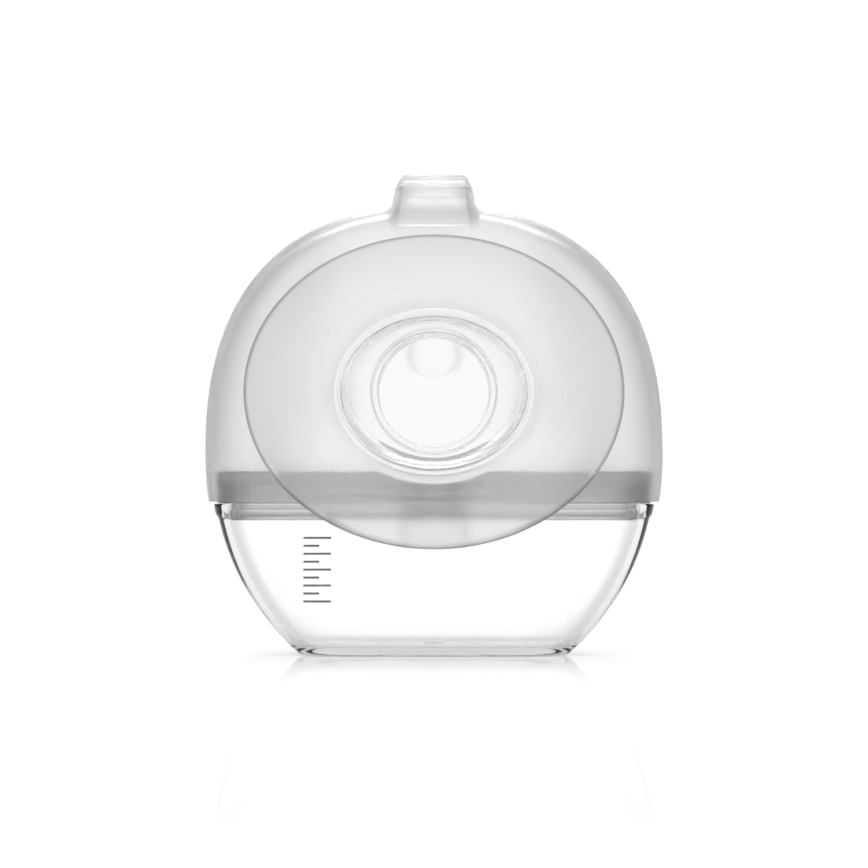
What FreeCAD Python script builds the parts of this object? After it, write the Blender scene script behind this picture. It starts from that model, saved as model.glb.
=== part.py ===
# Hands-free silicone breast pump: a clear milk container, a rigid lid with a duckbill valve, a squeeze
# dome with a pour spout, and a breast shield held in the dome's back wall by a rigid frame.
# Millimetres. +Z is up, -Y is the wearer's side, and the origin is the centre of the container's base.
import FreeCAD, Part

import math
import os

# Dome, measured outside
DOME_HALF_WIDTH = 55.7
DOME_REAR = 17.4
DOME_FRONT = 34.5
CREST_Z = 108.6
WAIST_Z = 48.6
BELLY_Z = 68.0
SKIRT_Z = 37.4
SKIRT_TUCK = 0.8
BELLY_TUCK = 7.4
DOME_WALL = 2.4
SKIRT_WALL = 1.8
SIDE_RISE = 2.37
SIDE_SPREAD = 2.56
REAR_RISE = 6.0
FRONT_RISE = 2.2
REAR_SQUARENESS = 4.5
FRONT_SQUARENESS = 2.5
LOFT_STOP_DEG = 84.5

# Container, measured outside
BASE_HALF_DEPTH = 15.0
SIDE_ARC_RADIUS = 61.1
SIDE_ARC_X = -7.1
SIDE_ARC_Z = 46.6
CUP_FRONT = 25.0
CUP_REAR = 15.4
CUP_WALL = 2.4
FLOOR = 2.2
BASE_ROUND = 1.2
LIP_Z = 36.9
LIP_HEIGHT = 2.6
LIP_REACH = 0.5

# Rigid lid between the container and the dome
LID_TOP_Z = 44.8
LID_GAP = 0.05
NEST_GAP = 0.15
LID_RIM = 2.2
PLATE_Z = 39.6
PLATE = 1.8
SEAT_Z = 38.2
SPIGOT_Z = 32.9
SPIGOT_WALL = 2.0
SPIGOT_GAP = 0.35
BEAD_Z = 40.2
BEAD_HALF = 0.6
BEAD_DEPTH = 0.6
GROOVE_LOW_Z = 34.0
GROOVE_HIGH_Z = 35.6
GROOVE_DEPTH = 0.9
RIB_X = 39.8
RIB_HALF_WIDTH = 0.6
RIB_PROUD = 0.2

# Drain boss and duckbill valve
DRAIN_Y = 4.0
DRAIN_BORE = 5.5
BOSS_RADIUS = 7.0
BOSS_END_Z = 33.6
DISH_RADIUS = 13.0
DISH_DEPTH = 1.1
VALVE_WALL = 1.5
VALVE_SHOULDER_Z = 33.0
VALVE_TIP_Z = 26.0
VALVE_TIP_HALF_WIDTH = 7.8
VALVE_TIP_HALF_DEPTH = 1.1
VALVE_TIP_SQUARENESS = 4.0
VALVE_THROAT_WALL = 0.9
VALVE_SLIT = 0.3
VALVE_SLIT_HALF_LENGTH = 6.0
VALVE_ROLL_RADIUS = 0.7
VALVE_ROLL_DROP = 1.05

# Breast shield: an elliptical bell, a neck with a flat floor, and a straight tunnel through that floor
SHIELD_Z = 63.3
TUNNEL_Z = 64.1
SHIELD_HALF_WIDTH = 45.0
SHIELD_HALF_HEIGHT = 37.2
SHIELD_RIM_Y = -30.0
TUNNEL_MOUTH_Y = -12.8
TUNNEL_END_Y = 8.0
TUNNEL_RADIUS = 13.5
SHIELD_WALL = 1.5
NECK_HALF_WIDTH = 21.0
NECK_HALF_HEIGHT = 16.8
NECK_FLOOR_Y = -12.0
NECK_END_Y = -19.0
NECK_ROUND = 3.0
NECK_WIDTH_DRAFT = 2.4
NECK_HEIGHT_DRAFT = 0.4
BELL_POWER = 1.5

# Frame that clamps the edge of the dome's back wall
FRAME_HALF_WIDTH = 22.9
FRAME_HALF_HEIGHT = 18.7
FRAME_WEB = 1.2
FRAME_FLANGE = 1.9
FRAME_REAR_Y = -18.7
FRAME_FRONT_Y = -13.6
FRAME_FLANGE_THICKNESS = 1.15

# Press pad in the dome's front wall
PRESS_Z = 66.0
PRESS_RADIUS = 12.0
PRESS_GAP = 0.3

# Pour spout, its cap and the cap's strap
SPOUT_Y = -9.6
SPOUT_TOP_Z = 112.9
SPOUT_FOOT_Z = 101.5
SPOUT_HALF_WIDTH = 9.3
SPOUT_REAR = 6.8
SPOUT_FRONT = 6.4
SPOUT_SIDE_DRAFT = 0.2
SPOUT_FRONT_DRAFT = 0.15
SPOUT_WALL = 1.9
SPOUT_SQUARENESS = 4.0
CAP_TOP_Z = 115.7
CAP_BEVEL = 1.2
CAP_GAP = 0.1
PLUG_DEPTH = 2.6
PLUG_GAP = 0.15
PLUG_TAPER = 1.0
THUMB_REACH = 3.0
THUMB_HALF_WIDTH = 5.0
THUMB_THICKNESS = 1.8
THUMB_ROUND = 2.5
STRAP_HALF_WIDTH = 7.8
STRAP_THICKNESS = 1.7
STRAP_FOOT_Z = 104.2
HINGE_RADIUS = 0.9
HINGE_GAP = 0.12
HINGE_ARM_REACH = 3.0

SECTION_POINTS = 48
OVERRUN = 5.0

FRAME_Z = (SHIELD_Z + TUNNEL_Z) / 2
HINGE_Y = SPOUT_Y - SPOUT_REAR - STRAP_THICKNESS / 2
HINGE_Z = CAP_TOP_Z - HINGE_RADIUS


def vector(x, y, z):
    return FreeCAD.Vector(x, y, z)


def outline(half_width, rear, front, squareness=None):
    """(x, y) points of a closed superellipse about 0, 0 that may differ behind and in front."""
    points = []
    for i in range(SECTION_POINTS):
        angle = 2 * math.pi * i / SECTION_POINTS
        along, across = math.cos(angle), math.sin(angle)
        power = squareness or (REAR_SQUARENESS if across < 0 else FRONT_SQUARENESS)
        reach = (abs(along) ** power + abs(across) ** power) ** (-1 / power)
        depth = rear if across < 0 else front
        points.append((half_width * along * reach, depth * across * reach))
    return points


def level_wire(z, points, y0=0.0):
    """A horizontal closed curve through (x, y) points."""
    curve = Part.BSplineCurve()
    curve.interpolate(Points=[vector(x, y + y0, z) for x, y in points], PeriodicFlag=True)
    return Part.Wire(curve.toShape())


def upright_wire(y, half_width, half_height, z0):
    """A closed ellipse in the plane at y, centred on x = 0 and z = z0."""
    curve = Part.BSplineCurve()
    angles = [2 * math.pi * i / SECTION_POINTS for i in range(SECTION_POINTS)]
    points = [vector(half_width * math.cos(a), y, z0 - half_height * math.sin(a)) for a in angles]
    curve.interpolate(Points=points, PeriodicFlag=True)
    return Part.Wire(curve.toShape())


def loft(wires):
    return Part.makeLoft(wires, True, False)


def slab(points, low, high, y0=0.0):
    """A straight-sided solid between two heights."""
    face = Part.Face(level_wire(low, points, y0))
    return face.extrude(vector(0, 0, high - low))


def frame_slab(reach, rear_y, front_y):
    """A straight elliptical solid along Y that stands out by reach from the frame's opening."""
    wire = upright_wire(rear_y, FRAME_HALF_WIDTH + reach, FRAME_HALF_HEIGHT + reach, FRAME_Z)
    face = Part.Face(wire)
    return face.extrude(vector(0, front_y - rear_y, 0))


def rod_y(radius, rear_y, front_y, z):
    return Part.makeCylinder(radius, front_y - rear_y, vector(0, rear_y, z), vector(0, 1, 0))


def rod_z(radius, low, high, y):
    return Part.makeCylinder(radius, high - low, vector(0, y, low))


def box(x0, x1, y0, y1, z0, z1):
    return Part.makeBox(x1 - x0, y1 - y0, z1 - z0, vector(x0, y0, z0))


def spread(low, high, steps):
    return [low + (high - low) * i / steps for i in range(steps + 1)]


# Dome ------------------------------------------------------------------------


def dome_sizes(z, inset):
    """Half width, rear depth and front depth of the dome at height z, taken inset inside its outer skin."""
    crest = CREST_Z - inset
    half, rear, front = DOME_HALF_WIDTH - inset, DOME_REAR - inset, DOME_FRONT - inset
    if z > WAIST_Z:
        rise = (z - WAIST_Z) / (crest - WAIST_Z)
        half *= (1 - rise**SIDE_RISE) ** (1 / SIDE_SPREAD)
        rear *= (1 - rise**REAR_RISE) ** (1 / REAR_RISE)
    else:
        half -= SKIRT_TUCK * ((WAIST_Z - z) / (WAIST_Z - SKIRT_Z)) ** 2
    if z > BELLY_Z:
        rise = (z - BELLY_Z) / (crest - BELLY_Z)
        front *= (1 - rise**FRONT_RISE) ** (1 / FRONT_RISE)
    else:
        front -= BELLY_TUCK * ((BELLY_Z - z) / (BELLY_Z - SKIRT_Z)) ** 2
    return half, rear, front


def dome_wire(z, inset):
    return level_wire(z, outline(*dome_sizes(z, inset)))


def skirt_inset(z):
    """The dome's wall thickness at height z, thinner in the skirt round the lid."""
    share = min(1.0, max(0.0, (z - SKIRT_Z) / (LID_TOP_Z - SKIRT_Z)))
    return SKIRT_WALL + (DOME_WALL - SKIRT_WALL) * share


def dome_heights(low, inset):
    rise = CREST_Z - inset - WAIST_Z
    angles = [math.radians(a) for a in spread(LOFT_STOP_DEG / 9, LOFT_STOP_DEG, 8)]
    return spread(low, WAIST_Z, 3) + [WAIST_Z + rise * math.sin(a) for a in angles]


def dome_hollow():
    """The space inside the dome, open below."""
    upper = loft([dome_wire(z, DOME_WALL) for z in dome_heights(LID_TOP_Z, DOME_WALL)])
    skirt = loft([dome_wire(z, skirt_inset(z)) for z in spread(SKIRT_Z, LID_TOP_Z, 3)])
    below = slab(outline(*dome_sizes(SKIRT_Z, SKIRT_WALL)), SKIRT_Z - OVERRUN, SKIRT_Z)
    return upper.fuse([skirt, below])


def dome_bead(gap):
    """A ring on the lid's groove line, standing into the lid by the bead's depth less a gap."""
    low, high = BEAD_Z - BEAD_HALF + gap, BEAD_Z + BEAD_HALF - gap
    outside = loft([dome_wire(z, skirt_inset(z) - gap) for z in (low, BEAD_Z, high)])
    depth = NEST_GAP + BEAD_DEPTH - gap
    inside = loft([dome_wire(z, skirt_inset(z) + depth) for z in (low, BEAD_Z, high)])
    return outside.cut(inside)


def spout_outline(z, inset=0.0):
    drop = SPOUT_TOP_Z - z
    half = SPOUT_HALF_WIDTH + SPOUT_SIDE_DRAFT * drop - inset
    front = SPOUT_FRONT + SPOUT_FRONT_DRAFT * drop - inset
    return outline(half, SPOUT_REAR - inset, front, SPOUT_SQUARENESS)


def spout_loft(low, high, inset=0.0):
    return loft([level_wire(z, spout_outline(z, inset), SPOUT_Y) for z in (low, high)])


def press_rod(gap=0.0):
    return rod_y(PRESS_RADIUS + gap, 0, DOME_FRONT + OVERRUN, PRESS_Z)


def dome_skin():
    """The dome's wall before its back opening and the press pad are cut out of it."""
    outside = loft([dome_wire(z, 0) for z in dome_heights(SKIRT_Z, 0)])
    outside = outside.fuse(spout_loft(SPOUT_FOOT_Z, SPOUT_TOP_Z))
    bore = spout_loft(SPOUT_FOOT_Z - 2, SPOUT_TOP_Z + OVERRUN, SPOUT_WALL)
    return outside.cut([dome_hollow(), bore])


def silicone_dome(skin):
    rear_hole = frame_slab(FRAME_WEB + NEST_GAP, -DOME_REAR - OVERRUN, -DOME_REAR / 2)
    return skin.cut([rear_hole, press_rod(PRESS_GAP)]).fuse(dome_bead(NEST_GAP)).removeSplitter()


def press_pad(skin):
    return skin.common(press_rod())


# Container -------------------------------------------------------------------


def cup_sizes(z, inset=0.0):
    """Half width, rear depth and front depth of the container's wall at height z."""
    arc = math.sqrt(SIDE_ARC_RADIUS**2 - (SIDE_ARC_Z - z) ** 2)
    foot = math.sqrt(SIDE_ARC_RADIUS**2 - SIDE_ARC_Z**2)
    top = math.sqrt(SIDE_ARC_RADIUS**2 - (SIDE_ARC_Z - LIP_Z) ** 2)
    share = (arc - foot) / (top - foot)
    half = SIDE_ARC_X + arc
    rear = BASE_HALF_DEPTH + (CUP_REAR - BASE_HALF_DEPTH) * share
    front = BASE_HALF_DEPTH + (CUP_FRONT - BASE_HALF_DEPTH) * share
    return half - inset, rear - inset, front - inset


def cup_loft(low, high, inset, foot_round):
    """The container's body between two heights, with its foot drawn in by a quarter round."""
    wires = []
    for degrees in (0, 30, 60, 90):
        angle = math.radians(degrees)
        z = low + foot_round * (1 - math.cos(angle))
        tuck = foot_round * (1 - math.sin(angle))
        wires.append(level_wire(z, outline(*cup_sizes(z, inset + tuck))))
    wires += [level_wire(z, outline(*cup_sizes(z, inset))) for z in spread(low + 3 * foot_round, high, 6)]
    return loft(wires)


def milk_container():
    body = cup_loft(0, LIP_Z, 0, BASE_ROUND)
    lip_foot = LIP_Z - LIP_HEIGHT
    flare = loft(
        [
            level_wire(lip_foot - 2 * LIP_REACH, outline(*cup_sizes(lip_foot - 2 * LIP_REACH, LIP_REACH))),
            level_wire(lip_foot, outline(*cup_sizes(lip_foot, -LIP_REACH))),
        ]
    )
    band = loft([level_wire(z, outline(*cup_sizes(z, -LIP_REACH))) for z in (lip_foot, LIP_Z)])
    hollow = cup_loft(FLOOR, LIP_Z + 1, CUP_WALL, 2 * BASE_ROUND)
    return body.fuse([flare, band]).cut(hollow).removeSplitter()


# Lid, its gasket and its valve -------------------------------------------------


def lid_wire(z, inset=0.0):
    return dome_wire(z, skirt_inset(z) + NEST_GAP + inset)


def spigot_outline(inset=0.0):
    return outline(*cup_sizes(SPIGOT_Z, CUP_WALL + SPIGOT_GAP + inset))


def container_lid():
    """The lid, with a shallow saddle in the back of its rim for the foot of the shield's frame."""
    low = LIP_Z + LID_GAP
    rim = loft([lid_wire(z) for z in spread(low, LID_TOP_Z, 3)])
    well = loft([lid_wire(z, LID_RIM) for z in spread(PLATE_Z + PLATE, LID_TOP_Z + 1, 2)])
    under = loft([lid_wire(z, LID_RIM) for z in spread(SEAT_Z, PLATE_Z, 1)])
    spigot = slab(spigot_outline(), SPIGOT_Z, PLATE_Z)
    spigot_well = slab(spigot_outline(SPIGOT_WALL), SPIGOT_Z - 1, PLATE_Z)
    groove = slab(spigot_outline(-1), GROOVE_LOW_Z, GROOVE_HIGH_Z).cut(
        slab(spigot_outline(GROOVE_DEPTH), GROOVE_LOW_Z, GROOVE_HIGH_Z)
    )
    boss = rod_z(BOSS_RADIUS, BOSS_END_Z, PLATE_Z, DRAIN_Y)
    bore = rod_z(DRAIN_BORE, BOSS_END_Z - 1, LID_TOP_Z, DRAIN_Y)
    dish_floor = vector(0, DRAIN_Y, PLATE_Z + PLATE - DISH_DEPTH)
    dish = Part.makeCone(DRAIN_BORE, DISH_RADIUS, DISH_DEPTH, dish_floor)
    saddle = frame_slab(FRAME_WEB + FRAME_FLANGE + NEST_GAP, FRAME_REAR_Y, FRAME_FRONT_Y + LID_RIM)
    lid = rim.cut([well, under, saddle]).fuse(spigot).cut(spigot_well)
    lid = lid.fuse([boss, *spigot_ribs()]).cut([groove, bore, dish, lid_groove()])
    return lid.removeSplitter()


def spigot_ribs():
    """Four short crush ribs that stand a little proud of the spigot, above the gasket's groove."""
    proud = slab(spigot_outline(-RIB_PROUD), GROOVE_HIGH_Z, LIP_Z + LID_GAP)
    ribs = []
    for x in (-RIB_X, RIB_X):
        left, right = x - RIB_HALF_WIDTH, x + RIB_HALF_WIDTH
        for rear_y, front_y in ((-CUP_FRONT, 0), (0, CUP_FRONT)):
            ribs.append(proud.common(box(left, right, rear_y, front_y, GROOVE_HIGH_Z, LIP_Z + LID_GAP)))
    return ribs


def lid_groove():
    """The groove round the lid's rim that the dome's bead snaps into."""
    low, high = BEAD_Z - BEAD_HALF, BEAD_Z + BEAD_HALF
    outside = loft([lid_wire(z, -1) for z in (low, high)])
    inside = loft([lid_wire(z, BEAD_DEPTH) for z in (low, high)])
    return outside.cut(inside)


def lid_gasket():
    low, high = GROOVE_LOW_Z + NEST_GAP, GROOVE_HIGH_Z - NEST_GAP
    ring = slab(spigot_outline(-RIB_PROUD), low, high)
    return ring.cut(slab(spigot_outline(GROOVE_DEPTH - NEST_GAP), low, high))


def valve_loft(low, high, inset):
    """The duckbill's tapered lips: round at the shoulder and flat at the tip."""
    wires = []
    for share in spread(1, 0, 3):
        z = high + (low - high) * share
        radius = BOSS_RADIUS + VALVE_WALL - NEST_GAP
        half = radius + (VALVE_TIP_HALF_WIDTH - radius) * share - inset
        depth = radius + (VALVE_TIP_HALF_DEPTH - radius) * share - inset
        squareness = 2 + (VALVE_TIP_SQUARENESS - 2) * share
        wires.append(level_wire(z, outline(half, depth, depth, squareness), DRAIN_Y))
    return loft(wires)


def duckbill_valve():
    bore = BOSS_RADIUS + NEST_GAP / 2
    top = PLATE_Z - NEST_GAP
    collar = rod_z(bore + VALVE_WALL, VALVE_SHOULDER_Z, top, DRAIN_Y)
    roll = Part.makeTorus(bore + VALVE_WALL, VALVE_ROLL_RADIUS, vector(0, DRAIN_Y, top - VALVE_ROLL_DROP))
    hollow = rod_z(bore, VALVE_SHOULDER_Z, PLATE_Z, DRAIN_Y)
    lips = valve_loft(VALVE_TIP_Z, VALVE_SHOULDER_Z, 0)
    throat = valve_loft(VALVE_TIP_Z + 1, VALVE_SHOULDER_Z, VALVE_THROAT_WALL)
    half_gap, reach = VALVE_SLIT / 2, VALVE_SLIT_HALF_LENGTH
    slit = box(-reach, reach, DRAIN_Y - half_gap, DRAIN_Y + half_gap, VALVE_TIP_Z - 1, VALVE_SHOULDER_Z)
    return collar.fuse([roll, lips]).cut([hollow, throat, slit]).removeSplitter()


# Breast shield and its frame -----------------------------------------------------


def bell_wire(y, wall, tuck=0.0):
    """The bell's section at y: its inner skin, or its outer skin with a wall's thickness."""
    flare = max(0.0, (y - NECK_END_Y) / (SHIELD_RIM_Y - NECK_END_Y)) ** BELL_POWER
    half_width = NECK_HALF_WIDTH + (SHIELD_HALF_WIDTH - SHIELD_WALL - NECK_HALF_WIDTH) * flare
    half_height = NECK_HALF_HEIGHT + (SHIELD_HALF_HEIGHT - SHIELD_WALL - NECK_HALF_HEIGHT) * flare
    deep = max(0.0, (y - NECK_END_Y) / (NECK_FLOOR_Y - NECK_END_Y))
    half_width -= NECK_WIDTH_DRAFT * deep
    half_height -= NECK_HEIGHT_DRAFT * deep
    back = wall * (y - SHIELD_RIM_Y) / (NECK_FLOOR_Y - SHIELD_RIM_Y)
    z = FRAME_Z + (SHIELD_Z - FRAME_Z) * flare
    return upright_wire(y + back, half_width + wall - tuck, half_height + wall - tuck, z)


def bell_loft(wall=0.0):
    """The bell and its neck as a solid, from the rim to the rounded edge of the neck's floor."""
    neck_middle = (NECK_END_Y + NECK_FLOOR_Y - NECK_ROUND) / 2
    wires = [bell_wire(y, wall) for y in spread(SHIELD_RIM_Y, NECK_END_Y, 6) + [neck_middle]]
    for degrees in (90, 60, 30, 0):
        angle = math.radians(degrees)
        y = NECK_FLOOR_Y - NECK_ROUND * (1 - math.cos(angle))
        wires.append(bell_wire(y, wall, NECK_ROUND * (1 - math.sin(angle))))
    return loft(wires)


def breast_shield():
    tunnel = rod_y(TUNNEL_RADIUS + SHIELD_WALL, TUNNEL_MOUTH_Y, TUNNEL_END_Y, TUNNEL_Z)
    bore = rod_y(TUNNEL_RADIUS, TUNNEL_MOUTH_Y - OVERRUN, TUNNEL_END_Y + OVERRUN, TUNNEL_Z)
    bell = bell_loft(SHIELD_WALL).cut(bell_loft())
    return bell.fuse(tunnel).cut(bore).removeSplitter()


def shield_frame():
    """A channel ring: a web through the dome's back opening and a flange on each side of its wall."""
    wide = FRAME_WEB + FRAME_FLANGE
    rear, front = FRAME_REAR_Y, FRAME_FRONT_Y
    hub = frame_slab(FRAME_WEB, rear, front)
    flanges = [
        frame_slab(wide, rear, rear + FRAME_FLANGE_THICKNESS),
        frame_slab(wide, front - FRAME_FLANGE_THICKNESS, front),
    ]
    opening = frame_slab(0, rear - OVERRUN, front + OVERRUN)
    return hub.fuse(flanges).cut(opening).removeSplitter()


# Spout cap and its strap -----------------------------------------------------------


def spout_cap():
    low = SPOUT_TOP_Z + CAP_GAP
    rear_y = SPOUT_Y - SPOUT_REAR + CAP_GAP
    body = loft(
        [
            level_wire(low, spout_outline(SPOUT_TOP_Z, CAP_GAP), SPOUT_Y),
            level_wire(CAP_TOP_Z, spout_outline(SPOUT_TOP_Z, CAP_BEVEL), SPOUT_Y),
        ]
    )
    front_y = SPOUT_Y + SPOUT_FRONT
    half = THUMB_HALF_WIDTH
    thumb = box(-half, half, SPOUT_Y, front_y + THUMB_REACH, low, low + THUMB_THICKNESS)
    tip_y = front_y + THUMB_REACH
    corners = [e for e in thumb.Edges if abs(e.CenterOfMass.y - tip_y) < 0.1 and e.Length < half]
    thumb = thumb.makeFillet(THUMB_ROUND, corners)
    half = STRAP_HALF_WIDTH
    arm = box(-half, half, HINGE_Y, rear_y + HINGE_ARM_REACH, HINGE_Z - HINGE_RADIUS, CAP_TOP_Z)
    barrel = Part.makeCylinder(HINGE_RADIUS, 2 * half, vector(-half, HINGE_Y, HINGE_Z), vector(1, 0, 0))
    inset = SPOUT_WALL + PLUG_GAP
    plug = loft(
        [
            level_wire(low - PLUG_DEPTH, spout_outline(SPOUT_TOP_Z, inset + PLUG_TAPER), SPOUT_Y),
            level_wire(low, spout_outline(SPOUT_TOP_Z, inset), SPOUT_Y),
        ]
    )
    return body.fuse([thumb, arm, barrel, plug]).removeSplitter()


def cap_strap(dome_outside):
    """The strip that runs up the back of the spout and carries the cap's hinge."""
    rear_y = SPOUT_Y - SPOUT_REAR
    top = HINGE_Z - HINGE_RADIUS - HINGE_GAP
    strap = box(-STRAP_HALF_WIDTH, STRAP_HALF_WIDTH, rear_y - STRAP_THICKNESS, rear_y + 2, STRAP_FOOT_Z, top)
    spout = spout_loft(SPOUT_FOOT_Z, SPOUT_TOP_Z + OVERRUN, -CAP_GAP)
    return strap.cut([dome_outside, spout])


def dome_envelope():
    """The dome's outer skin grown by the nesting gap, used to trim what sits on it."""
    wires = [dome_wire(z, -NEST_GAP) for z in dome_heights(SKIRT_Z, -NEST_GAP)]
    return loft(wires)


def main():
    skin = dome_skin()
    parts = {
        "milk_container": milk_container(),
        "container_lid": container_lid(),
        "lid_gasket": lid_gasket(),
        "duckbill_valve": duckbill_valve(),
        "silicone_dome": silicone_dome(skin),
        "press_pad": press_pad(skin),
        "shield_frame": shield_frame(),
        "breast_shield": breast_shield(),
        "spout_cap": spout_cap(),
        "cap_strap": cap_strap(dome_envelope()),
    }
    os.makedirs("parts", exist_ok=True)
    for name, shape in parts.items():
        size = shape.optimalBoundingBox(True, False)
        print(f"{name}: {len(shape.Solids)} solid, valid {shape.isValid()}, {shape.Volume / 1000:.2f} cm3")
        print(f"    {size.XLength:.1f} x {size.YLength:.1f} x {size.ZLength:.1f}, foot at z {size.ZMin:.1f}")
        shape.exportStep(f"parts/{name}.step")


main()
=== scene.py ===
"""The looks of a hands-free breast pump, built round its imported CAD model. Sizes are in millimetres."""

import math

import bmesh
import bpy
import numpy as np
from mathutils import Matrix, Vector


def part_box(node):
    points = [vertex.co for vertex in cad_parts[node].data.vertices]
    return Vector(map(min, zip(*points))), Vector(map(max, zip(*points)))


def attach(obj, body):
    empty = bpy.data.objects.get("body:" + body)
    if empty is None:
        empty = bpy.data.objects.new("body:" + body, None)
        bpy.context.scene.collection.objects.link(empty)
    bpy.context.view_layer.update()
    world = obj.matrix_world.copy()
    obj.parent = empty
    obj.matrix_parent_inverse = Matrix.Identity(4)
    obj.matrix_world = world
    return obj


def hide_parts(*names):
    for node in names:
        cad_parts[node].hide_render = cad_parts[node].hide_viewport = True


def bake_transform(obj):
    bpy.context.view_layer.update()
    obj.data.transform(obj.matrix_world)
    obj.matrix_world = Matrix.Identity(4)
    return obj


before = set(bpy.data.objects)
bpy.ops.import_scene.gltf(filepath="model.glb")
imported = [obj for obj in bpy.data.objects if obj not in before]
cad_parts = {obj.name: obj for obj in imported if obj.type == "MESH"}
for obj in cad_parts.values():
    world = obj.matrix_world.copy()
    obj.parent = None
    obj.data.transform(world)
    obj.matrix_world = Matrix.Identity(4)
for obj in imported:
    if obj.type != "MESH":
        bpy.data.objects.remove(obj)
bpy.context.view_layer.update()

import openvdb

MM = 0.001


def corners(node):
    """A CAD node's lowest and highest corner, in millimetres."""
    low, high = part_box(node)
    return [c / MM for c in low], [c / MM for c in high]


# Driving sizes, read from the frame
CUP_HIGH = corners("milk_container")[1]
LID_LOW, LID_HIGH = corners("container_lid")
GASKET_LOW, GASKET_HIGH = corners("lid_gasket")
VALVE_LOW, VALVE_HIGH = corners("duckbill_valve")
DOME_LOW, DOME_HIGH = corners("silicone_dome")
PAD_HIGH = corners("press_pad")[1]
FRAME_LOW, FRAME_HIGH = corners("shield_frame")
SHIELD_LOW, SHIELD_HIGH = corners("breast_shield")
CAP_LOW, CAP_HIGH = corners("spout_cap")
STRAP_LOW, STRAP_HIGH = corners("cap_strap")

# Dome
DOME_HALF_WIDTH = DOME_HIGH[0]
DOME_REAR = -DOME_LOW[1]
DOME_FRONT = PAD_HIGH[1]
SKIRT_Z = DOME_LOW[2]
CREST_Z = 108.6
WAIST_Z = 48.6
BELLY_Z = 68.0
SKIRT_TUCK = 0.8
BELLY_TUCK = 7.4
DOME_WALL = 2.4
SKIRT_WALL = 1.8
ARCH_RISE_POWER = 2.37
ARCH_WIDTH_POWER = 2.56
REAR_POWER = 6
BELLY_POWER = 2.2
REAR_SQUARENESS = 4.5
BACK_WALL_Y = -10
FRONT_SQUARENESS = 2.5

# Container
SIDE_ARC_RADIUS = 61.1
SIDE_ARC_X = -7.1
SIDE_ARC_Z = 46.6
BASE_HALF_DEPTH = 15.0
CUP_FRONT = 25.0
CUP_REAR = 15.4
CUP_WALL = 2.4
FLOOR = 2.2
LIP_Z = CUP_HIGH[2]
LIP_REACH = 0.5
LIP_HEIGHT = 2.6
BASE_ROUND = 1.6
FLOOR_ROUND = 3.2
GATE_MARK = ((0.09, 0), (0.075, 0.35), (0.06, 0.45), (0.004, 0.5))

# Lid
LID_TOP_Z = LID_HIGH[2]
SPIGOT_Z = LID_LOW[2]
LID_RIM = 2.2
PLATE_Z = 39.6
PLATE_TOP_Z = 41.4
NEST_GAP = 0.15
SPIGOT_INSET = 2.75
SPIGOT_WALL = 2.0
BEAD_Z = 40.2
BEAD_HALF_HEIGHT = 0.6
BEAD_DEPTH = 0.6
GROOVE_LOW_Z = 34.0
GROOVE_HIGH_Z = 35.6
GROOVE_DEPTH = 0.9
FUNNEL_RADIUS = 13
FUNNEL_DROP = 1.1
DRAIN_Y = (VALVE_LOW[1] + VALVE_HIGH[1]) / 2
DRAIN_BORE = 5.5
BOSS_RADIUS = 7.0
BOSS_END_Z = 33.6

# Valve
VALVE_SHOULDER_Z = 33.0
VALVE_TIP_HALF_WIDTH = 7.8
VALVE_TIP_HALF_DEPTH = 1.1
VALVE_SLIT_HALF_LENGTH = 6
VALVE_SLIT_HALF_WIDTH = 0.15
VALVE_ROLL_RADIUS = 0.7
VALVE_ROLL_DROP = 1.05

# Breast shield
SHIELD_Z = (SHIELD_LOW[2] + SHIELD_HIGH[2]) / 2
SHIELD_RIM_Y = SHIELD_LOW[1]
TUNNEL_END_Y = SHIELD_HIGH[1]
TUNNEL_Z = SHIELD_Z + 0.8
TUNNEL_MOUTH_Y = -12.8
TUNNEL_RADIUS = 13.5
SHIELD_WALL = 1.5
NECK_HALF_WIDTH = 21.0
NECK_HALF_HEIGHT = 16.8
NECK_FLOOR_Y = -12.0
NECK_END_Y = -19.0
NECK_ROUND = 3.0
NECK_WIDTH_DRAFT = 2.4
NECK_HEIGHT_DRAFT = 0.4
BELL_POWER = 1.5
TUNNEL_MIDDLE_Y = -2

# Frame
FRAME_Z = (FRAME_LOW[2] + FRAME_HIGH[2]) / 2
FRAME_WEB = 1.2
FRAME_FLANGE = 1.9
FRAME_FLANGE_THICKNESS = 1.15

# Spout, cap and strap
SPOUT_Y = -9.6
SPOUT_TOP_Z = DOME_HIGH[2]
SPOUT_FOOT_Z = 101.5
SPOUT_HALF_WIDTH = 9.3
SPOUT_REAR = 6.8
SPOUT_FRONT = 6.4
SPOUT_WALL = 1.9
SPOUT_WIDTH_DRAFT = 0.2
SPOUT_FRONT_DRAFT = 0.15
SPOUT_FILLET = 1.4
HINGE_Y = -17.25
HINGE_Z = 114.8
THUMB_HALF_WIDTH = 5
STRAP_BEND = 1.9
STRAP_SPREAD = 0.9
STRAP_THICKNESS = 1.55
STRAP_END_THICKNESS = 1.15

PRESS_RING_Z = 75.0
PRESS_RING_RADIUS = 6.3
PRESS_RING_HEIGHT = 0.8
PRESS_RING_BAND = 1.2
PRESS_RING_FADE = 30
FRONT_WALL_Y = 20

# Printed ticks
TICKS = 9
TICK_STEPS = 8
TICK_X = -33.0
LOWEST_TICK_Z = 12
HIGHEST_TICK_Z = 28
LONG_TICK = 7.0
SHORT_TICK = 4.0
TICK_HALF_HEIGHT = 0.28

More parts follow.
